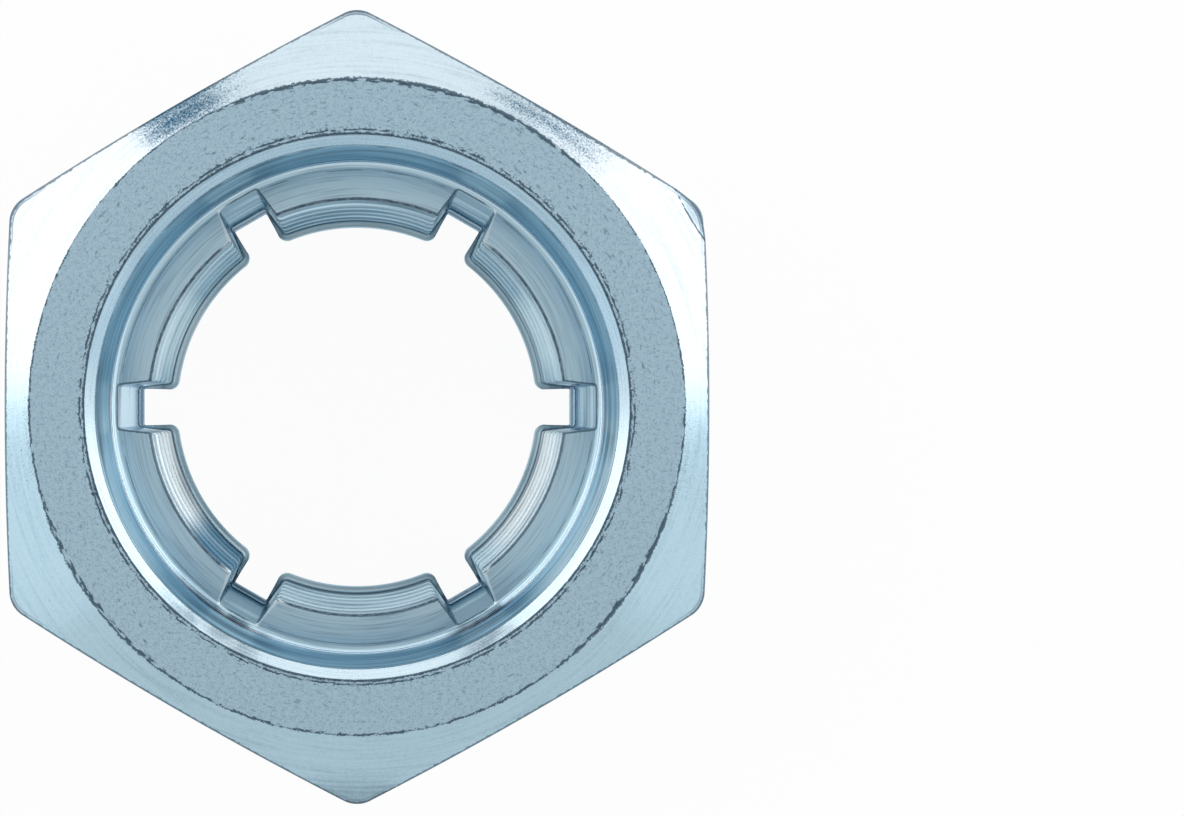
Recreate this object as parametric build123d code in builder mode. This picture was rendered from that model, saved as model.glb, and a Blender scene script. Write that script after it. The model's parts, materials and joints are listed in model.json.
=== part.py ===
from build123d import *
import os
from math import cos, radians, tan

# Hexagonal lock nut, made in one piece. A turned recess in the front face leaves
# an internal flange behind it. The flange carries the thread, and six slots
# divide it into six threaded lands.
# The thread's axis is Z. Z = 0 is the back face and +Z points to the recessed
# front face. Two corners of the hexagon point along Y.
# Sizes are in millimetres and angles in degrees.

# Hexagon
across_flats = 30.0
nut_height = 12.0
upright_edge_radius = 1.1

# Turned chamfers that cut the hexagon's corners at both ends
front_chamfer_diameter = 27.7
front_chamfer_angle = 25.0
back_chamfer_diameter = 27.7
back_chamfer_angle = 30.0
back_shoulder_radius = 3.5

# Thread, bored here to its minor diameter, as a metric thread's profile gives it
thread_diameter = 20.0
thread_pitch = 1.5
thread_depths_per_pitch = 1.0825
minor_diameter = thread_diameter - thread_depths_per_pitch * thread_pitch
front_thread_chamfer = 0.2

# Thin lip that closes the hole in a little at the back face, all round its outline
lip_height = 0.4
lip_overhang = 0.3

# Slots that divide the flange, wider towards the axis and cut past the thread's root
slot_count = 6
slot_depth_past_thread = 0.775
slot_root_diameter = thread_diameter + 2 * slot_depth_past_thread
slot_root_width = 1.98
slot_flare_angle = 6.5
slot_root_radius = 0.2
land_corner_radius = 0.2

# Recess in the front face, bored a little wider than the slots' roots
recess_margin = 0.325
recess_diameter = slot_root_diameter + 2 * recess_margin
recess_depth = 4.6
recess_mouth_chamfer = 0.42
recess_root_radius = 0.2

# Values worked out from the sizes above
minor_radius = minor_diameter / 2
flange_height = nut_height - recess_depth
across_corners = across_flats / cos(radians(30))
slot_flare = tan(radians(slot_flare_angle))

# A slot is drawn from its root towards the axis and ends inside the bore
slot_inner_reach = minor_radius / 2

# The turned outline reaches past the hexagon's corners, so that only its cones cut them
envelope_margin = 1.0
envelope_radius = across_corners / 2 + envelope_margin

# Height that each chamfer's cone takes off between its circle and the envelope
front_cone_drop = (envelope_radius - front_chamfer_diameter / 2) * tan(radians(front_chamfer_angle))
back_cone_rise = (envelope_radius - back_chamfer_diameter / 2) * tan(radians(back_chamfer_angle))

# Two radii this close count as the same when the recess's edges are picked
radius_tolerance = 0.001

with BuildPart() as lock_nut:
    # Hexagonal bar with softened upright edges
    with BuildSketch() as hexagon:
        RegularPolygon(across_flats / 2, 6, major_radius=False, rotation=30)
        fillet(hexagon.vertices(), upright_edge_radius)
    extrude(amount=nut_height)

    # Both ends turned down to a cone; the back one runs into its face in a soft shoulder
    with BuildSketch(Plane.XZ) as turned_envelope:
        with BuildLine() as envelope_outline:
            Polyline(
                (0, 0),
                (back_chamfer_diameter / 2, 0),
                (envelope_radius, back_cone_rise),
                (envelope_radius, nut_height - front_cone_drop),
                (front_chamfer_diameter / 2, nut_height),
                (0, nut_height),
                close=True,
            )
        make_face()
        back_face_corner = turned_envelope.vertices().sort_by_distance(
            Vector(back_chamfer_diameter / 2, 0, 0)
        )[0]
        fillet(back_face_corner, back_shoulder_radius)
    revolve(axis=Axis.Z, mode=Mode.INTERSECT)

    # Recess with a broken mouth edge and a small radius at its root
    with BuildSketch(Plane.XY.offset(nut_height)):
        Circle(recess_diameter / 2)
    extrude(amount=-recess_depth, mode=Mode.SUBTRACT)
    recess_edges = lock_nut.edges().filter_by(GeomType.CIRCLE)
    recess_edges = recess_edges.filter_by(
        lambda edge: abs(edge.radius - recess_diameter / 2) < radius_tolerance
    )
    chamfer(recess_edges.sort_by(Axis.Z)[-1], recess_mouth_chamfer)
    fillet(recess_edges.sort_by(Axis.Z)[0], recess_root_radius)

    # Bore and its six slots as one outline, drawn in all round where it passes the lip
    for inset, hole_bottom, hole_top in (
        (lip_overhang, 0, lip_height),
        (0, lip_height, flange_height),
    ):
        slot_reach = slot_root_diameter / 2 - inset
        slot_length = slot_reach - slot_inner_reach
        root_width = slot_root_width - 2 * inset * (1 / cos(radians(slot_flare_angle)) - slot_flare)
        inner_width = root_width + 2 * slot_length * slot_flare
        with BuildSketch(Plane.XY.offset(hole_bottom)) as hole:
            Circle(minor_radius - inset)
            with PolarLocations(0, slot_count):
                with Locations((slot_reach - slot_length / 2, 0)):
                    Trapezoid(inner_width, slot_length, 90 - slot_flare_angle, rotation=-90)
            corners = hole.vertices().group_by(lambda corner: Vector(corner).length)
            fillet(corners[-1], slot_root_radius)
            corners = hole.vertices().group_by(lambda corner: Vector(corner).length)
            fillet(corners[0], land_corner_radius + inset)
        extrude(amount=hole_top - hole_bottom, mode=Mode.SUBTRACT)

    # Chamfer that leads a bolt into the thread from the recess
    with BuildSketch(Plane.XZ):
        with BuildLine():
            Polyline(
                (0, flange_height),
                (minor_radius + front_thread_chamfer, flange_height),
                (minor_radius, flange_height - front_thread_chamfer),
                (0, flange_height - front_thread_chamfer),
                close=True,
            )
        make_face()
    revolve(axis=Axis.Z, mode=Mode.SUBTRACT)

lock_nut.part.label = "lock_nut"

os.makedirs("parts", exist_ok=True)
export_step(lock_nut.part, "parts/lock_nut.step")
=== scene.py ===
import json
from math import atan2, cos, hypot, pi, radians, sin, sqrt, tan

import bpy
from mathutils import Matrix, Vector


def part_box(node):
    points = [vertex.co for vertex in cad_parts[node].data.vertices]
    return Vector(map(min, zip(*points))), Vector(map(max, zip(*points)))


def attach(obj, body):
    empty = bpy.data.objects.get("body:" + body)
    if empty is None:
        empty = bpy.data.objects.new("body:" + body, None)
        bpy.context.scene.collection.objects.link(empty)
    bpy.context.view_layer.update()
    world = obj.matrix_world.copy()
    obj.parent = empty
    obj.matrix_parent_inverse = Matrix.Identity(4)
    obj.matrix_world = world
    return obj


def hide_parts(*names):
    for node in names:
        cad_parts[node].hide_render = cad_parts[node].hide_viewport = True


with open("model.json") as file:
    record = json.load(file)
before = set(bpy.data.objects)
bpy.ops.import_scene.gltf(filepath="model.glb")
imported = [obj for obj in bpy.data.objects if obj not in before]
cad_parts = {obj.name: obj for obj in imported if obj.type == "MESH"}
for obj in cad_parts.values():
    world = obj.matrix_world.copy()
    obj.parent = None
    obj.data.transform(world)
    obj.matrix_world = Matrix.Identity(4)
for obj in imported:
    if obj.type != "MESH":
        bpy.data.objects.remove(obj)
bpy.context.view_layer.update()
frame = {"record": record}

# Lock nut: one piece of steel, turned and tapped, then zinc plated and passivated light blue.
# A recess in its front face leaves a flange behind it that carries the thread, and six
# slots divide the flange into lands. A thin lip behind the thread grips the bolt.
MM = 0.001
nut_low, nut_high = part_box("lock_nut")
mounts = {mount["name"]: mount["dims"] for mount in frame["record"]["mounts"]}

across_flats = nut_high.x - nut_low.x
nut_height = nut_high.z - nut_low.z
upright_edge_radius = 1.1 * MM
front_circle = 13.85 * MM
back_circle = 13.85 * MM
front_chamfer_slope = tan(radians(25))
back_chamfer_angle = radians(30)
back_shoulder_radius = 3.5 * MM

recess_radius = mounts["recess"]["r_mm"] * MM
recess_depth = 4.6 * MM
recess_mouth_chamfer = 0.42 * MM
recess_root_radius = 0.2 * MM
flange_height = nut_height - recess_depth

minor_radius = mounts["thread"]["r_mm"] * MM
thread_pitch = 1.5 * MM
thread_depth = 0.812 * MM
front_thread_chamfer = 0.2 * MM

slot_count = 6
slot_root_reach = 10.775 * MM
slot_root_width = 1.98 * MM
slot_flare = radians(6.5)
slot_root_radius = 0.2 * MM
land_corner_radius = 0.2 * MM

# The lip draws the hole in fully over the lands, and less at the slots' sides and roots
lip_height = 0.4 * MM
lip_overhang = 0.3 * MM
lip_easing_in_slots = 0.2 * MM
lip_pull_at_roots = 0.14 * MM
lip_corner_radius = 0.08 * MM

# Edges are crisp all over, and a little blunter at the hexagon's corners. Rows of the mesh
# guard the hole's edges at this distance. The finish wears dark along the hexagon's edges
# and the hole's, within this reach of them.
edge_softness = 0.05 * MM
corner_softness = 0.07 * MM
guard_distance = 1.6 * edge_softness
wear_reach = 0.3 * MM
hole_wear_reach = 0.18 * MM

# The gaps that rows of the mesh keep from a crease, from the recess's root on its wall and
# on the flange, from each other on the flange, and from the shoulder on the back face
crease_gap = 0.03 * MM
root_wall_gap = 0.1 * MM
root_flange_gap = 0.02 * MM
row_gap = 0.005 * MM
shoulder_gap = 0.5 * MM

# One sixth of the nut is meshed, from the middle of a slot to the middle of the next.
# Angles are measured from the middle of the land between them, where the hexagon has
# its corner.
half_sector = pi / slot_count
corner_centre = (across_flats / 2 - upright_edge_radius) / cos(half_sector)
corner_reach = atan2(
    upright_edge_radius * sin(half_sector),
    corner_centre + upright_edge_radius * cos(half_sector),
)


def between(start, end, steps):
    """Evenly spaced values after start, up to end."""
    return [start + (end - start) * step / steps for step in range(1, steps + 1)]


# Steps along each part of the hole's outline, from a slot's root to a land's middle
root_steps, corner_steps, flank_steps = 4, 5, 8
bore_steps, land_middle_steps = 17, 6
root_corner_end = root_steps + corner_steps
flank_end = root_corner_end + flank_steps


def hole_outline(inset, root_radius=slot_root_radius):
    """Half of the hole's outline, from a slot's middle round to a land's, as reach and angle.
    It is drawn in towards the axis by inset."""
    lean = tan(slot_flare)
    root_reach = slot_root_reach - inset
    root_half = slot_root_width / 2 - inset * (1 / cos(slot_flare) - lean)
    root_y = root_half - root_radius * (1 / cos(slot_flare) - lean)
    bore = minor_radius - inset
    land_radius = land_corner_radius + inset
    # The land's corner is centred on a line beside the flank, at a known reach
    offset = root_half + land_radius / cos(slot_flare) + root_reach * lean
    spread = 1 + lean**2
    centre_x = (offset * lean + sqrt(spread * (bore + land_radius) ** 2 - offset**2)) / spread
    centre_y = offset - centre_x * lean
    bore_angle = atan2(centre_y, centre_x)

    points = [(root_reach, y) for y in [0] + between(0, root_y, root_steps)]
    for turn in between(0, pi / 2 - slot_flare, corner_steps):
        drawn_in = root_radius * (1 - cos(turn))
        points.append((root_reach - drawn_in, root_y + root_radius * sin(turn)))
    flank_x, flank_y = points[-1]
    flank_end_x = centre_x - land_radius * sin(slot_flare)
    for x in between(flank_x, flank_end_x, flank_steps):
        points.append((x, flank_y + (flank_x - x) * lean))
    for turn in between(-pi / 2 - slot_flare, bore_angle - pi, corner_steps):
        points.append((centre_x + land_radius * cos(turn), centre_y + land_radius * sin(turn)))
    polar = [(hypot(x, y), half_sector - atan2(y, x)) for x, y in points]
    corner_angle = half_sector - corner_reach
    bore_turns = between(bore_angle, corner_angle, bore_steps)
    bore_turns += between(corner_angle, half_sector, land_middle_steps)
    return polar + [(bore, half_sector - turn) for turn in bore_turns]


def lip_outline(inset):
    """Half of the lip's outline. It is drawn in fully over the lands and less in the slots."""
    points = []
    in_slots = hole_outline(inset - lip_easing_in_slots, lip_corner_radius)
    for index, over_land in enumerate(hole_outline(inset)):
        share = min(max((index - root_corner_end) / (flank_end - root_corner_end), 0), 1)
        reach, angle = in_slots[index]
        reach = (reach - lip_pull_at_roots) * (1 - share) + over_land[0] * share
        points.append((reach, angle * (1 - share) + over_land[1] * share))
    return points


def hexagon_reach(angle):
    """Distance from the axis to the hexagon's side, at an angle from its corner."""
    if angle >= corner_reach:
        return across_flats / 2 / cos(half_sector - angle)
    across = corner_centre * sin(angle)
    return corner_centre * cos(angle) + sqrt(upright_edge_radius**2 - across**2)


def pushed_out(polar, least_reach):
    """The same point, or one further out on its ray from the axis."""
    return max(polar[0], least_reach), polar[1]


def curve(start, corner, end, steps=2):
    """Points of the parabola that rounds a corner off between start and end."""
    return [
        start * (1 - t) ** 2 + corner * 2 * t * (1 - t) + end * t**2
        for t in [0] + between(0, 1, steps)
    ]


def softened(before, corner, after, size=edge_softness, steps=2):
    """A rounded corner, with a guard point on each side that keeps the sides flat."""
    back = (before - corner).normalized() * size
    on = (after - corner).normalized() * size
    rounding = curve(corner + back, corner, corner + on, steps)
    return [corner + back * 1.5] + rounding + [corner + on * 1.5]


def rows(points, gap=wear_reach, share=0.0):
    """Points of a section, each with its gap from a worn edge and its share of thread."""
    return [(point, gap, share) for point in points]


def worn(before, corner, after, size):
    """A softened corner of the section where the finish is worn."""
    guard, *rounding, last_guard = softened(before, corner, after, size, 4)
    far = [corner + (end - corner).normalized() * wear_reach for end in (before, after)]
    inner = rows([guard], size / 2) + rows(rounding, 0.0) + rows([last_guard], size / 2)
    return rows([far[0]]) + inner + rows([far[1]])


def ramp(value):
    """Smooth step from 0 to 1."""
    value = min(max(value, 0), 1)
    return value * value * (3 - 2 * value)


hole = hole_outline(0)
hole_widened = hole_outline(-edge_softness)
hole_guard = hole_outline(-guard_distance)
hole_wear = hole_outline(-hole_wear_reach)
lip = lip_outline(lip_overhang)
lip_widened = lip_outline(lip_overhang - edge_softness)
lip_guard = lip_outline(lip_overhang - guard_distance)

# Rows of the threaded wall follow the thread. A sixth of a pitch is a whole number of
# rows, so the same rows suit the thread in every sixth of the nut.
rows_per_pitch = 18
row_drop = thread_pitch / rows_per_pitch
thread_fade = 0.45 * MM
thread_end_gap = 0.1 * MM
thread_top = flange_height - front_thread_chamfer - thread_end_gap
thread_rows = int((thread_top - lip_height - thread_end_gap) / row_drop)
thread_bottom = thread_top - thread_rows * row_drop
flank_angle = hole[root_corner_end][1]


def thread_share(height):
    """How much of the thread's depth is cut at a height: it fades out at both ends."""
    return ramp((thread_top - height) / thread_fade) * ramp((height - thread_bottom) / thread_fade)


def helix_rise(angle, height):
    """Lift that lays a row of the wall along the thread, and none in the slots' middles."""
    rise = thread_pitch * min(angle, flank_angle) / (2 * pi)
    rise *= min((half_sector - angle) / (half_sector - flank_angle), 1)
    return rise * ramp(min(thread_top - height, height - thread_bottom) / thread_fade)


def section(index, hand):
    """The nut's closed outline on one ray from the axis, as rows of points.
    It runs out along the back, up the side, in over the front and down the bore. Hand is 1 or
    -1 for the two halves of the sixth."""
    angle = hole[index][1]
    blunt = ramp(1 - angle / (1.2 * corner_reach))
    side_softness = edge_softness + (corner_softness - edge_softness) * blunt

    def at(polar, height):
        reach, turn = polar
        return Vector((reach * cos(turn), hand * reach * sin(turn), height))

    def ring(reach, height):
        return at((reach, angle), height)

    def on_cone(reach):
        return ring(reach, nut_height - (reach - front_circle) * front_chamfer_slope)

    # Back face, its soft shoulder and cone
    shoulder_reach = back_circle - back_shoulder_radius * tan(back_chamfer_angle / 2)
    path = rows([ring(shoulder_reach - shoulder_gap, 0)])
    for turn in [0] + between(0, back_chamfer_angle, 8):
        rise = back_shoulder_radius * (1 - cos(turn))
        path += rows([ring(shoulder_reach + back_shoulder_radius * sin(turn), rise)])

    # Side of the hexagon, between the back's cone and the front's
    side = hexagon_reach(angle)
    back_corner = ring(side, (side - back_circle) * tan(back_chamfer_angle))
    front_corner = on_cone(side)
    front_edge = ring(front_circle, nut_height)
    path += worn(path[-1][0], back_corner, front_corner, side_softness)
    path += worn(back_corner, front_corner, front_edge, side_softness)
    cone_end = side - wear_reach
    for share in between(0, 1, 12)[:-1]:
        path += rows([on_cone(cone_end - (cone_end - front_circle) * share**1.5)])

    # Front ring, mouth and wall of the recess
    mouth_edge = ring(recess_radius + recess_mouth_chamfer, nut_height)
    wall_edge = ring(recess_radius, nut_height - recess_mouth_chamfer)
    wall_foot = ring(recess_radius, flange_height + recess_root_radius)
    path += rows(softened(front_corner, front_edge, mouth_edge))
    path += rows(softened(front_edge, mouth_edge, wall_edge))
    path += rows(softened(mouth_edge, wall_edge, wall_foot))
    path += rows([wall_foot + Vector((0, 0, root_wall_gap))])
    for turn in [0] + between(0, pi / 2, 5):
        drawn_in = recess_root_radius * (1 - cos(turn))
        rise = recess_root_radius * (1 - sin(turn))
        path += rows([ring(recess_radius - drawn_in, flange_height + rise)])

    # Flange, its worn edge at the hole, and the chamfer that leads into the thread
    least = minor_radius + front_thread_chamfer
    crease = flange_height - front_thread_chamfer
    widest = recess_radius - recess_root_radius - root_flange_gap
    wear_start, wear_turn = pushed_out(hole_wear[index], least + hole_wear_reach)
    gap = min(wear_start, widest) - hole[index][0]
    path += rows([at((widest + row_gap, wear_turn), flange_height)])
    path += rows([at((min(wear_start, widest), wear_turn), flange_height)], gap)
    guard_reach, guard_turn = pushed_out(hole_guard[index], least + guard_distance)
    guard = min(guard_reach, widest - 2 * row_gap), guard_turn
    path += rows([at(guard, flange_height)], guard_distance - edge_softness)
    path += rows(
        curve(
            at(pushed_out(hole_widened[index], least + edge_softness), flange_height),
            at(pushed_out(hole[index], least), flange_height),
            at(pushed_out(hole[index], least - edge_softness), flange_height - edge_softness),
        ),
        0.0,
    )
    chamfer_foot = pushed_out(hole[index], minor_radius + crease_gap)
    path += rows([at(chamfer_foot, crease + crease_gap)], hole_wear_reach)
    path += rows([at(hole[index], crease - crease_gap)])

    # Threaded wall
    for row in range(thread_rows + 1):
        height = thread_top - row * row_drop
        point = at(hole[index], height + hand * helix_rise(angle, height))
        path += rows([point], share=thread_share(height))

    # Ledge and lip, back to the start
    path += rows([at(hole[index], lip_height + crease_gap), at(hole[index], lip_height)])
    path += rows([at(lip_guard[index], lip_height)])
    path += rows(
        curve(
            at(lip_widened[index], lip_height),
            at(lip[index], lip_height),
            at(lip[index], lip_height - edge_softness),
        )
    )
    path += rows(
        curve(at(lip[index], edge_softness), at(lip[index], 0), at(lip_widened[index], 0))
    )
    return path + rows([at(lip_guard[index], 0)])


middle = len(hole) - 1
columns = [section(index, -1) for index in range(middle)]
columns += [section(index, 1) for index in range(middle, -1, -1)]
row_count = len(columns[0])
points, gaps, shares = zip(*[row for path in columns for row in path])
quads = []
for column in range(len(columns) - 1):
    for row in range(row_count):
        this, following = column * row_count, (column + 1) * row_count
        above = (row + 1) % row_count
        quads.append((this + row, following + row, following + above, this + above))

sixth_mesh = bpy.data.meshes.new("nut_sixth")
sixth_mesh.from_pydata(points, [], quads)
sixth_mesh.shade_smooth()
wear_gaps = [gap / MM for gap in gaps]
for name, values in (("thread_share", shares), ("wear_gap", wear_gaps)):
    sixth_mesh.attributes.new(name, "FLOAT", "POINT").data.foreach_set("value", values)
nut = bpy.data.objects.new("zinc_plated_nut", sixth_mesh)
bpy.context.scene.collection.objects.link(nut)


class Wire:
    """One output socket of a node tree. Its operators add Math nodes to the tree."""

    def __init__(self, socket):
        self.socket = socket
        self.tree = socket.id_data

    def node(self, kind, settings, inputs, output=0):
        """Add a node with its settings, then its inputs, and return one of its outputs."""
        made = self.tree.nodes.new(kind)
        for name, value in settings.items():
            setattr(made, name, value)
        for name, value in inputs.items():
            if isinstance(value, Wire):
                self.tree.links.new(value.socket, made.inputs[name])
            else:
                made.inputs[name].default_value = value
        return Wire(made.outputs[output])

    def math(self, operation, *values):
        """A Math node on the values given, in their order."""
        return self.node("ShaderNodeMath", {"operation": operation}, dict(enumerate(values)))

    def __add__(self, other):
        return self.math("ADD", self, other)

    def __sub__(self, other):
        return self.math("SUBTRACT", self, other)

    def __neg__(self):
        return self.math("MULTIPLY", self, -1)

    def __rsub__(self, other):
        return self.math("SUBTRACT", other, self)

    def __mul__(self, other):
        return self.math("MULTIPLY", self, other)

    def __truediv__(self, other):
        return self.math("DIVIDE", self, other)

    def __pow__(self, other):
        return self.math("POWER", self, other)

    def __abs__(self):
        return self.math("ABSOLUTE", self)

    __radd__ = __add__
    __rmul__ = __mul__

    def clamped(self):
        return self.node("ShaderNodeClamp", {}, {0: self})

    def rise(self, low, high, start=0.0, end=1.0):
        """Smooth step: start below low, end above high."""
        settings = {"interpolation_type": "SMOOTHSTEP"}
        inputs = {0: self, 1: low, 2: high, 3: start, 4: end}
        return self.node("ShaderNodeMapRange", settings, inputs)

    def fall(self, low, high):
        """Smooth step: 1 below low, 0 above high."""
        return self.rise(low, high, 1.0, 0.0)

    def split(self):
        """The three numbers of a vector."""
        outputs = self.node("ShaderNodeSeparateXYZ", {}, {0: self}).socket.node.outputs
        return [Wire(socket) for socket in outputs]

    def vector(self, x, y, z):
        return self.node("ShaderNodeCombineXYZ", {}, {0: x, 1: y, 2: z})

    def dot(self, direction):
        """How far a vector reaches in a direction."""
        settings, inputs = {"operation": "DOT_PRODUCT"}, {0: self, 1: direction}
        return self.node("ShaderNodeVectorMath", settings, inputs, output="Value")


# Six turned copies of the sixth are merged into the whole nut, and the thread is cut
# into it along its helix
tree = bpy.data.node_groups.new("nut_from_sixths", "GeometryNodeTree")
tree_sizes = {
    "Sixths": slot_count,
    "Minor radius": minor_radius,
    "Thread depth": thread_depth,
    "Thread pitch": thread_pitch,
    "Thread top": thread_top,
}
tree.interface.new_socket("Sixth", in_out="INPUT", socket_type="NodeSocketGeometry")
for name, size in tree_sizes.items():
    kind = "NodeSocketInt" if isinstance(size, int) else "NodeSocketFloat"
    tree.interface.new_socket(name, in_out="INPUT", socket_type=kind)
tree.interface.new_socket("Finish", in_out="INPUT", socket_type="NodeSocketMaterial")
tree.interface.new_socket("Nut", in_out="OUTPUT", socket_type="NodeSocketGeometry")
given = {socket.name: Wire(socket) for socket in tree.nodes.new("NodeGroupInput").outputs}
sixth = given["Sixth"]

turn = (sixth.node("GeometryNodeInputIndex", {}, {}) + 0.5) * (2 * pi / slot_count)
places = sixth.node("GeometryNodeMeshLine", {}, {"Count": given["Sixths"], "Offset": (0, 0, 0)})
whole = sixth.node(
    "GeometryNodeInstanceOnPoints",
    {},
    {"Points": places, "Instance": sixth, "Rotation": sixth.vector(0, 0, turn)},
)
whole = sixth.node("GeometryNodeRealizeInstances", {}, {"Geometry": whole})
seam = {"Geometry": whole, "Distance": 0.001 * MM}
whole = sixth.node("GeometryNodeMergeByDistance", {}, seam)

# One corner of the front is knocked flat, as a plane that starts at this reach cuts it
knock_azimuth, knock_slope = 30, radians(40)
knock_start = 16.46 * MM
knock_height = nut_height - (knock_start - front_circle) * front_chamfer_slope
knock_distance = knock_start * sin(knock_slope) + knock_height * cos(knock_slope)
knock = Vector(
    (
        sin(knock_slope) * cos(radians(knock_azimuth)),
        sin(knock_slope) * sin(radians(knock_azimuth)),
        cos(knock_slope),
    )
)

# The thread's form: of its 18 rows the root is flat for 2 and the crest for 4, and each
# flank takes 6 and ends 7 rows from the root's middle
flank_rows, flank_end_row = 6, 7
x, y, z = sixth.node("GeometryNodeInputPosition", {}, {}).split()
reach = (x * x + y * y) ** 0.5
turns = x.math("ARCTAN2", y, x) / (2 * pi)
climb = (z - given["Thread top"]) / given["Thread pitch"] - turns
from_root = 0.5 - abs(climb.math("FRACT", climb) - 0.5)
groove = ((flank_end_row - from_root * rows_per_pitch) / flank_rows).clamped()
share = sixth.node(
    "GeometryNodeInputNamedAttribute", {"data_type": "FLOAT"}, {"Name": "thread_share"}
)
cut_reach = given["Minor radius"] + groove * share * given["Thread depth"]
stretch = cut_reach.math("MAXIMUM", cut_reach, reach) / reach - 1
whole = sixth.node(
    "GeometryNodeSetPosition",
    {},
    {
        "Geometry": whole,
        "Selection": share,
        "Offset": sixth.vector(x * stretch, y * stretch, 0),
    },
)
past = x * knock.x + y * knock.y + z * knock.z - knock_distance
past = past.math("MAXIMUM", past, 0.0)
back = sixth.vector(past * -knock.x, past * -knock.y, past * -knock.z)
whole = sixth.node("GeometryNodeSetPosition", {}, {"Geometry": whole, "Offset": back})
whole = sixth.node(
    "GeometryNodeSetMaterial", {}, {"Geometry": whole, "Material": given["Finish"]}
)
tree.links.new(whole.socket, tree.nodes.new("NodeGroupOutput").inputs["Nut"])

# The finish: light blue zinc over turned and drawn steel. Its places are found from the
# sizes above, in millimetres.
finish = bpy.data.materials.new("blue_passivated_zinc")
finish.use_nodes = True
shader = finish.node_tree.nodes["Principled BSDF"]
shader.inputs["Metallic"].default_value = 1.0
shader.inputs["Specular Tint"].default_value = (0.64, 0.82, 0.92, 1)
place = Wire(finish.node_tree.nodes.new("ShaderNodeTexCoord").outputs["Object"])
place = place.node("ShaderNodeVectorMath", {"operation": "SCALE"}, {0: place, "Scale": 1 / MM})
x, y, z = place.split()
reach = (x * x + y * y) ** 0.5
across, along = x / reach, y / reach
outward = x.vector(across, along, 0)
wear_gap = x.node("ShaderNodeAttribute", {"attribute_name": "wear_gap"}, {}, output="Fac")
# How far each place lies from the axis, square to the flat that it faces
flat_reach = x.math("MAXIMUM", abs(x), abs(x * 0.5) + abs(y * (sqrt(3) / 2)))

# Colours of the marks on it, of its painted shade and dark reflections, and of its painted
# highlights
dark_mark_and_shade, light_mark = (0.05, 0.11, 0.17, 1), (0.85, 0.95, 1.0, 1)
gap_reflection_blue, glint_white = (0.03, 0.10, 0.17, 1), (0.80, 0.94, 1.0, 1)
band_grey, line_and_shadow_black = (0.27, 0.34, 0.42, 1), (0.045, 0.085, 0.125, 1)


def noise(at, scale, detail=2.0, roughness=0.5):
    """Cloudy noise, about 0.5 on average."""
    inputs = {"Vector": at, "Scale": scale, "Detail": detail, "Roughness": roughness}
    return at.node("ShaderNodeTexNoise", {}, inputs)


def turned(over, round_the_axis, detail=2.0):
    """Noise drawn out round the axis, as turning leaves it: over is how fine it is across
    the profile, and round_the_axis how fine it is in a turn."""
    at = x.vector((reach + z) * over, across * round_the_axis, along * round_the_axis)
    return noise(at, 1.0, detail)


def mix(amount, first, second):
    """One colour faded into another."""
    settings = {"data_type": "RGBA"}
    return x.node("ShaderNodeMix", settings, {0: amount, 6: first, 7: second}, output=2)


def towards(azimuth, half_width, soft=6):
    """1 on the side of the nut that faces an azimuth, within a half width in degrees."""
    facing = outward.dot((cos(radians(azimuth)), sin(radians(azimuth)), 0))
    inner = cos(radians(max(half_width - soft, 0)))
    return facing.rise(cos(radians(half_width + soft)), inner)


def beside_slots(half_width, soft):
    """1 within a half width in degrees of a slot's middle, which faces a flat's middle."""
    facing = flat_reach / reach
    return facing.rise(cos(radians(half_width + soft)), cos(radians(half_width - soft)))


def ragged_line(distance, half_width):
    """A line where distance is 0, with a ragged outline. A half width of 0 draws none."""
    return abs(distance + ragged).fall(half_width * 0.6, half_width * 1.2 + 0.002)


# Noises of the marks
grain = noise(place, 12.0, 2.0, 0.6)
waves = noise(place, 0.8, 0.0)
speck_field = noise(place, 5.0, 2.0, 0.6)
streaks = turned(7.0, 1.6)
fine_streaks = turned(15.0, 4.0, 1.0)
dash_field = turned(9.0, 32.0, 1.0)
breaks = turned(0.7, 9.0, 1.0)
wall_streaks = turned(1.8, 1.4)
slot_streaks = turned(0.75, 1.5)
ragged = (noise(place, 4.0, 2.0, 0.7) - 0.5) * 0.13 + (grain - 0.5) * 0.12

# Where each surface is: a mask is 1 on it and 0 off it, and gaps are in millimetres
height_top = nut_height / MM
flange = flange_height / MM
circle, mouth_reach = front_circle / MM, (recess_radius + recess_mouth_chamfer) / MM
wall_reach, bore_reach = recess_radius / MM, minor_radius / MM
wall_top = (nut_height - recess_mouth_chamfer) / MM
flat_half_width = (across_flats / 2 - upright_edge_radius) * tan(half_sector) / MM
cone_height = height_top - (reach - circle) * front_chamfer_slope
back_cone_height = (reach - back_circle / MM) * tan(back_chamfer_angle)

outside = reach.rise(circle - 0.02, circle + 0.04)
cone_gap = z - cone_height
knock_gap = place.dot(knock) - knock_distance / MM
on_knock = abs(knock_gap).fall(0.01, 0.02) * outside * cone_gap.fall(-0.03, -0.01)
on_top = z.rise(height_top - 0.03, height_top - 0.01)
on_ring = on_top * reach.rise(mouth_reach - 0.03, mouth_reach) * (1 - outside)
on_cone = outside * cone_gap.rise(-0.06, -0.02)
on_cone = on_cone.math("MAXIMUM", on_cone, on_knock)
on_side = outside * cone_gap.fall(-0.10, -0.04) * (z - back_cone_height).rise(0.02, 0.08)
on_side *= 1 - on_knock
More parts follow.
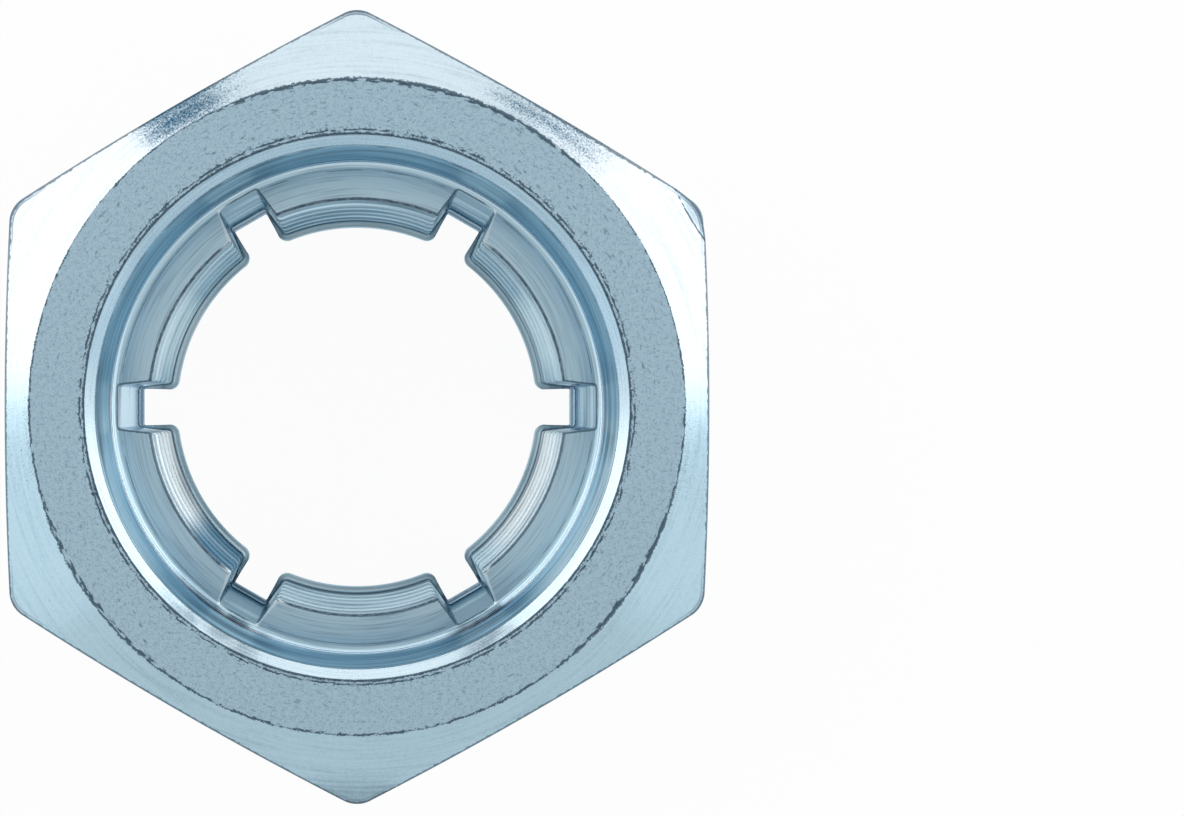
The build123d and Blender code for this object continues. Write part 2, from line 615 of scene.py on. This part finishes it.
# The cosine of three times the azimuth changes its sign from one flat to the next
every_other = across * (across * across * 4 - 3)
pitted_side = on_side * every_other.rise(-0.05, 0.05)
from_middle = abs(reach * reach - flat_reach * flat_reach) ** 0.5
inside = reach.fall(mouth_reach, mouth_reach + 0.02)
on_mouth = inside * z.rise(height_top - 0.44, height_top - 0.40)
on_wall = inside * (1 - on_mouth) * z.rise(flange + 0.15, flange + 0.7)
below_flange = reach.fall(wall_reach - 0.2, wall_reach - 0.17)
below_flange *= z.fall(flange - 0.07, flange - 0.03)
on_flange = inside * z.fall(flange + 0.03, flange + 0.06) * (1 - below_flange)
at_foot = inside * reach.rise(wall_reach - 0.22, wall_reach - 0.18)
at_foot *= z.fall(flange + 0.3, flange + 1.2)
in_slot = below_flange * reach.rise(bore_reach + 0.95, bore_reach + 1.05)
ledge = lip_height / MM
on_ledge = below_flange * z.fall(ledge + 0.02, ledge + 0.06)

# Tones laid over the zinc's colour, each over the ones before it, on a surface or on a side of it.
# Some are the zinc's own tones; most are painted light and shade, lighter on the sides that face
# the soft boxes and darker in the recess, the bore and the slots.
upper_half, lower_half = towards(90, 75, 30), towards(270, 95, 15)
left_side, right_side = towards(151, 24, 8), towards(28, 24, 8)
left_land, right_land = towards(201, 15, 8), towards(335, 18, 8)
lowest = towards(270, 22, 8)
# Painted light: the upper half a greyer blue than the lower
color = mix(upper_half, (0.48, 0.68, 0.79, 1), (0.57, 0.69, 0.76, 1))
tones_and_painted_light = (
    # Painted highlight: the front's cones greyer on the left and right, where the side soft boxes
    # shine
    (on_cone * (left_side + right_side), (0.59, 0.65, 0.69, 1)),
    (on_ring, (0.49, 0.69, 0.82, 1)),
    (on_side, (0.56, 0.70, 0.78, 1)),
    (pitted_side, (0.30, 0.44, 0.54, 1)),
    # Painted shade: the recess's mouth darker, and lighter in the lower half as painted light
    (on_mouth, (0.37, 0.53, 0.64, 1)),
    (on_mouth * lower_half, (0.53, 0.66, 0.73, 1)),
    # Painted shade: the recess's wall darker, with painted highlights on its lower left and lower
    # right
    (on_wall, (0.28, 0.48, 0.61, 1)),
    (on_wall * left_land, (0.68, 0.90, 1.0, 1)),
    (on_wall * right_land, (0.82, 0.96, 1.0, 1)),
    # Painted shade at the recess's root, with a painted highlight along it in the lower half, less
    # at the bottom
    (at_foot, (0.35, 0.50, 0.60, 1)),
    (at_foot * lower_half, (0.92, 0.95, 0.95, 1)),
    (at_foot * lowest * 0.6, (0.50, 0.66, 0.76, 1)),
    # The lands' tone, darker in the lower half as painted shade
    (on_flange, (0.60, 0.82, 0.94, 1)),
    (on_flange * lower_half, (0.52, 0.72, 0.84, 1)),
    # Painted shade: the bore darker; painted light makes it lighter in its lower half, on the
    # lower left and right lands, towards its top and on two upper sides, and a painted dark patch
    # lies on its lower left
    (below_flange, (0.35, 0.52, 0.62, 1)),
    (below_flange * lower_half, (0.58, 0.75, 0.84, 1)),
    (below_flange * (left_land + right_land), (0.95, 1.0, 1.0, 1)),
    (below_flange * z.rise(flange - 3.0, flange - 0.6) * 0.45, (0.75, 0.90, 0.98, 1)),
    (below_flange * (towards(22, 9, 6) + towards(158, 9, 6)) * 0.6, (0.80, 0.95, 1.0, 1)),
    (below_flange * towards(227, 9, 6), (0.15, 0.30, 0.42, 1)),
    # Painted shade: the slots dark, with a painted highlight on the left slot's root
    (in_slot, (0.02, 0.14, 0.22, 1)),
    (in_slot * towards(180, 20), (0.9, 0.95, 1.0, 1)),
    # The ledge's tone, darker in the slots as painted shade
    (on_ledge, (0.41, 0.56, 0.64, 1)),
    (on_ledge * in_slot, (0.34, 0.48, 0.60, 1)),
    (on_knock, (0.60, 0.74, 0.82, 1)),
)
for where, tone in tones_and_painted_light:
    color = mix(where, color, tone)

# Marks that darken it or lighten it: grain, turning lines, dashes, specks and the walls' streaks;
# and painted shade in dark patches of the mouth, the recess's wall and root, the bore and the
# slots, and at a corner's tip
shade = (grain - 0.5) * (on_ring * 1.3 + on_side * 0.5 + on_cone * 0.25)
shade += (speck_field - 0.5) * (on_ring * 0.9 + on_cone * 0.3)
shade += (streaks - 0.5) * (on_flange * 0.8 + on_cone * 0.3)
shade += (fine_streaks - 0.5) * (on_flange * 1.1 + on_cone * 0.5)
shade += (wall_streaks - 0.5) * (on_wall * 3.0 + below_flange * 2.2)
shade += (slot_streaks - 0.45) * in_slot * (1 - on_ledge) * 3.0
shade += (fine_streaks + grain - 1.0) * on_mouth * 0.8
worn_side = towards(85, 55, 25)
dash_strength = dash_field + (grain - 0.5) * 0.2 + worn_side * 0.03
dashes = on_ring * dash_strength.rise(0.67, 0.73)
spots = on_ring * speck_field.fall(0.2, 0.25) * 0.6
spots += outside * speck_field.fall(0.17, 0.22)
shade -= dashes * 0.4 + spots * 0.4
# Painted shade: dark patches in the recess's mouth and root where they face gaps between the soft
# boxes, on the recess's wall beside the slots, low in the bore, at the top of the left slot's root
# and in the two lower slots
painted_shade_mouth = (on_mouth + at_foot * 1.6) * (towards(236, 10, 6) + towards(301, 7, 4))
painted_shade_wall = on_wall * beside_slots(9.3, 5.7)
painted_shade_bore = below_flange * (1 - in_slot) * z.fall(ledge + 0.6, ledge + 2.0) * (1 - on_ledge)
painted_shadow_root = in_slot * towards(180, 20) * z.rise(flange - 1.2, flange - 0.7)
shade -= painted_shade_mouth * breaks.rise(0.3, 0.6) * 0.5 + painted_shade_wall * 0.4
# Painted shade at the tip of the lowest corner's cone
shade -= on_cone * towards(270, 5, 5) * reach.rise(circle + 1.15, circle + 3.35) * 0.4
painted_shade_slots = in_slot * (towards(240, 12, 6) + towards(300, 12, 6))
shade -= painted_shade_bore * (0.15 + wall_streaks * 0.5) + painted_shadow_root * 0.9 + painted_shade_slots * 0.45
color = mix(-shade, color, dark_mark_and_shade)
color = mix(shade.clamped() * 0.6, color, light_mark)

# Mottled painted dark reflections, where two of the front's cones face the gaps between the upper
# soft box and the side ones, and fainter ones lower down
lamp_gap_facing = towards(119, 8, 6) + towards(122, 5, 5) * 0.7 + towards(56, 8, 8) * 1.15
lamp_gap_facing = lamp_gap_facing * reach.rise(circle - 0.4, circle + 0.5) + on_knock * 0.2
lamp_gap_facing += (towards(186, 6, 6) + towards(352, 7, 6)) * 0.45
painted_dark_reflections = on_cone * (lamp_gap_facing + (grain - 0.5) * 3.2 + (streaks - 0.5) * 1.2)
color = mix(painted_dark_reflections.rise(0.3, 2.1), color, gap_reflection_blue)

# Every other flat of the hexagon is coarsely pitted, and a burr runs down its two edges
burr_place = flat_half_width + 0.45 + (waves - 0.5) * 0.3
upright_line = pitted_side * ragged_line(from_middle - burr_place, 0.09 * (speck_field + 0.5))
pitted = pitted_side * from_middle.fall(flat_half_width + 0.4, flat_half_width + 0.5)
dents = (speck_field + grain - waves * 0.5) * 0.5
pits = pitted * dents.fall(0.26, 0.38) * 0.7 + on_side * dents.fall(0.12, 0.2) * 0.4

# Painted highlights on some of the slots' edges, where their rounding catches the light
glints = towards(53.5, 2, 3) + towards(126.5, 2, 3) + towards(233.5, 2, 3)
glints += towards(246.5, 2, 3) + towards(306.5, 2, 3)
glints *= inside * z.rise(flange - 0.07, flange - 0.04) * wear_gap.fall(0.05, 0.09)
color = mix(glints * 0.9, color, glint_white)

# Ragged dark lines: burrs along the turned edges, wear along the hexagon's edges and the hole's,
# and a painted shadow above the ledge
dashed = dash_field.rise(0.36, 0.56)
circle_width = 0.022 + towards(82, 33, 6) * 0.062 + towards(216, 14, 8) * 0.045
circle_width += towards(327, 14, 8) * 0.045 + lower_half * 0.016
circle_gap = reach - circle + (dash_field - 0.5) * circle_width * 3 + (grain - 0.5) * 0.08
circle_line = ragged_line(circle_gap, circle_width * (breaks * 0.7 + dashed * 1.2))
circle_line *= z.rise(height_top - 0.5, height_top - 0.3)
mouth_width = 0.055 * (breaks + dashed * 0.6 + 0.3)
mouth_line = ragged_line(reach - mouth_reach - 0.03, mouth_width) * on_top
outer_burr = ragged_line(reach - mouth_reach - 0.20, 0.055 * dashed) * on_top
outer_burr *= breaks.rise(0.30, 0.42)
speckles = on_top * reach.fall(mouth_reach + 0.25, mouth_reach + 0.4)
speckles *= (speck_field + (grain - 0.5) * 0.7 - worn_side * 0.04).fall(0.3, 0.42)
rim_gap = z - wall_top + ragged
rim_line = rim_gap.fall(0.0, 0.04) * z.rise(wall_top - 0.4, wall_top - 0.25) * inside
rim_line *= breaks.rise(0.45, 0.6) * upper_half
foot_gap = reach - wall_reach + 0.42 + ragged * 0.3
foot_line = abs(foot_gap).fall(0.015, 0.035) * on_flange
foot_line *= (breaks + lowest * 0.3).rise(0.35, 0.5) * (1 - beside_slots(8.1, 0.8))
near_line = ragged_line(reach - bore_reach - 0.2, 0.04 * (breaks + 0.5))
near_line *= z.rise(flange - 0.2, flange - 0.1) * inside * dashed
near_line *= 1 - (left_land + right_land) * 0.8
# Painted shadow: a dark line on the bore's wall just above the ledge, fainter in the slots
ledge_shadow_line = abs(z - ledge - 0.1).fall(0.04, 0.12) * below_flange * (1 - on_ledge)
ledge_shadow_line *= 1 - in_slot * 0.8
edge_width = 0.03 + outside * (0.06 + towards(48, 8, 6) * 0.12 + towards(150, 8, 6) * 0.06)
edge_gap = wear_gap + (speck_field - 0.5) * edge_width * 2
edge_line = edge_gap.fall(edge_width * 0.5, edge_width)
edge_line *= (1 - below_flange * 0.5) * (1 - glints.clamped() * 0.9)
corners = (1 - beside_slots(26, 4)) * (1 - lower_half * 0.5)
corner_gap = wear_gap + ragged * 0.4
corner_band = corner_gap.fall(0.21, 0.28) * on_cone * corners
color = mix(corner_band * 0.85, color, band_grey)
corner_line = abs(corner_gap - 0.21).fall(0.02, 0.06) * on_cone * corners
knock_line = abs(knock_gap).fall(0.008, 0.018) * outside * cone_gap.rise(-0.03, -0.015)
knock_line *= towards(knock_azimuth, 8, 2) * z.rise(height_top - 2.0, height_top - 1.8)
clean = 1 - circle_line * 0.85
lines = (
    (mouth_line, 0.85),
    (outer_burr, 0.85),
    (speckles, 0.6),
    (rim_line, 0.4),
    (foot_line, 0.5),
    (near_line, 0.65),
    (ledge_shadow_line, 0.65),
    (edge_line, 0.7),
    (corner_line, 0.5),
    (knock_line, 0.8),
    (upright_line, 0.85),
    (pits, 0.7),
)
for line, strength in lines:
    clean *= line.math("MULTIPLY_ADD", line, -strength, 1.0)
color = mix(clean, line_and_shadow_black, color)

# How rough each surface is, and its small relief: grain, pits, soft waves, turned streaks
# and the rounded step at the recess's root
roughness = 0.26 + on_ring * 0.16 + on_flange * 0.08 + on_wall * 0.16
roughness += (below_flange - in_slot) * 0.12 + (1 - clean) * 0.3 + (grain - 0.5) * 0.1
height = grain * (on_ring + on_side) * 0.0025
height += (speck_field + grain * 0.4) * pitted_side * 0.03
height += streaks * (on_ring * 0.002 + on_cone * 0.004) + waves * on_cone * 0.012
root_start, root_width, root_slope = wall_reach - 0.30, 0.2, 0.42
root_step = reach - root_start
root_step = x.math("MINIMUM", x.math("MAXIMUM", root_step, 0.0), root_width)
root_step *= inside * z.fall(flange + 0.1, flange + 0.16)
root_step *= (1 - lowest * 0.6) * (0.5 + lower_half * 0.5)
height += root_step * root_slope
bump = x.node("ShaderNodeBump", {}, {"Height": height, "Distance": MM, "Strength": 1.0})
results = (("Base Color", color), ("Roughness", roughness), ("Normal", bump))
for name, wire in results:
    finish.node_tree.links.new(wire.socket, shader.inputs[name])

cutting = nut.modifiers.new("nut_from_sixths", "NODES")
cutting.node_group = tree
modifier_inputs = {**tree_sizes, "Finish": finish}
for item in tree.interface.items_tree:
    if item.name in modifier_inputs:
        cutting[item.identifier] = modifier_inputs[item.name]
evaluated = nut.evaluated_get(bpy.context.evaluated_depsgraph_get())
nut_mesh = bpy.data.meshes.new_from_object(evaluated)
nut.modifiers.remove(cutting)
nut.data = nut_mesh
nut_mesh.name = "zinc_plated_nut"
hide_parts("lock_nut")
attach(nut, "root")

# Floor and backdrop: a plain white table that curves up at its rim. The camera and the
# metal see it mostly as plain white, and the rest of it takes the nut's shadow.
floor_reach = 0.55
rim_radius = 0.35
rim_turn = radians(75)
floor_profile = [(0.0, 0.0), (floor_reach, 0.0)]
for turn in between(0, rim_turn, 10):
    floor_profile.append(
        (floor_reach + rim_radius * sin(turn), rim_radius * (1 - cos(turn)))
    )
floor_turns = 96
floor_points = [(0.0, 0.0, 0.0)]
for radius, height in floor_profile[1:]:
    for step in range(floor_turns):
        turn = 2 * pi * step / floor_turns
        floor_points.append((radius * cos(turn), radius * sin(turn), height))
floor_faces = []
for step in range(floor_turns):
    following = (step + 1) % floor_turns
    floor_faces.append((0, 1 + step, 1 + following))
    for ring_index in range(len(floor_profile) - 2):
        inner = 1 + ring_index * floor_turns
        outer = inner + floor_turns
        floor_faces.append(
            (inner + step, outer + step, outer + following, inner + following)
        )
floor_mesh = bpy.data.meshes.new("floor")
floor_mesh.from_pydata(floor_points, [], floor_faces)
floor_mesh.shade_smooth()
floor = bpy.data.objects.new("floor", floor_mesh)
bpy.context.scene.collection.objects.link(floor)

paper = bpy.data.materials.new("white_paper")
paper.use_nodes = True
paper_nodes = paper.node_tree.nodes
paper_nodes.clear()
seen = Wire(paper_nodes.new("ShaderNodeLightPath").outputs["Is Camera Ray"])
light_path = seen.socket.node
glossy = Wire(light_path.outputs["Is Glossy Ray"])
clear = Wire(light_path.outputs["Is Transmission Ray"])
white = seen.node("ShaderNodeEmission", {}, {"Color": (1, 1, 1, 1), "Strength": 1.0})
chalk = seen.node("ShaderNodeBsdfDiffuse", {}, {"Color": (0.9, 0.9, 0.9, 1)})
self_lit = (seen + glossy + clear).clamped() * 0.95
surface = seen.node("ShaderNodeMixShader", {}, {0: self_lit, 1: chalk, 2: white})
paper_output = paper_nodes.new("ShaderNodeOutputMaterial")
paper.node_tree.links.new(surface.socket, paper_output.inputs["Surface"])
floor_mesh.materials.append(paper)

# Studio light: a plain grey room and six soft boxes round the picture, low enough to shine
# on the front's cones and in the recess's mouth. The left and right ones are the brightest.
room = bpy.data.worlds.new("grey_room")
room.use_nodes = True
room.node_tree.nodes["Background"].inputs["Color"].default_value = (0.6, 0.6, 0.6, 1)
bpy.context.scene.world = room
lamp_distance = 0.5


def soft_box(name, azimuth, elevation, width, height, radiance):
    """A rectangular lamp that faces the nut, as bright to look at as its radiance."""
    lamp = bpy.data.lights.new(name, "AREA")
    lamp.shape = "RECTANGLE"
    lamp.size, lamp.size_y = width, height
    lamp.energy = radiance * pi * width * height
    box = bpy.data.objects.new(name, lamp)
    azimuth, elevation = radians(azimuth), radians(elevation)
    direction = Vector(
        (cos(elevation) * cos(azimuth), cos(elevation) * sin(azimuth), sin(elevation))
    )
    box.location = direction * lamp_distance
    box.rotation_euler = direction.to_track_quat("Z", "Y").to_euler()
    box.visible_camera = False
    bpy.context.scene.collection.objects.link(box)


soft_box("upper_soft_box", 90, 26, 0.50, 0.40, 0.6)
soft_box("left_soft_box", 151, 25, 0.47, 0.38, 1.2)
soft_box("right_soft_box", 28, 25, 0.47, 0.38, 1.2)
soft_box("lower_left_soft_box", 195, 25, 0.33, 0.38, 0.4)
soft_box("lower_right_soft_box", 344, 25, 0.32, 0.38, 0.34)
soft_box("lower_soft_box", 270, 27, 1.2, 0.36, 0.16)

# Camera: on the nut's axis, as near as the photograph's perspective shows, with the nut in
# the picture's left half
photo_width, photo_height = 1184, 816
nut_in_photo = (357, 407)
camera_above_front = 68 * MM
focal_pixels = 1611
camera_data = bpy.data.cameras.new("camera")
camera_data.sensor_width = 36
camera_data.lens = focal_pixels / photo_width * camera_data.sensor_width
camera_data.shift_x = (photo_width / 2 - nut_in_photo[0]) / photo_width
camera_data.shift_y = (nut_in_photo[1] - photo_height / 2) / photo_width
camera_data.clip_start = 0.005
camera = bpy.data.objects.new("camera", camera_data)
camera.location = (0, 0, nut_height + camera_above_front)
bpy.context.scene.collection.objects.link(camera)
bpy.context.scene.camera = camera
bpy.context.scene.view_settings.view_transform = "Standard"
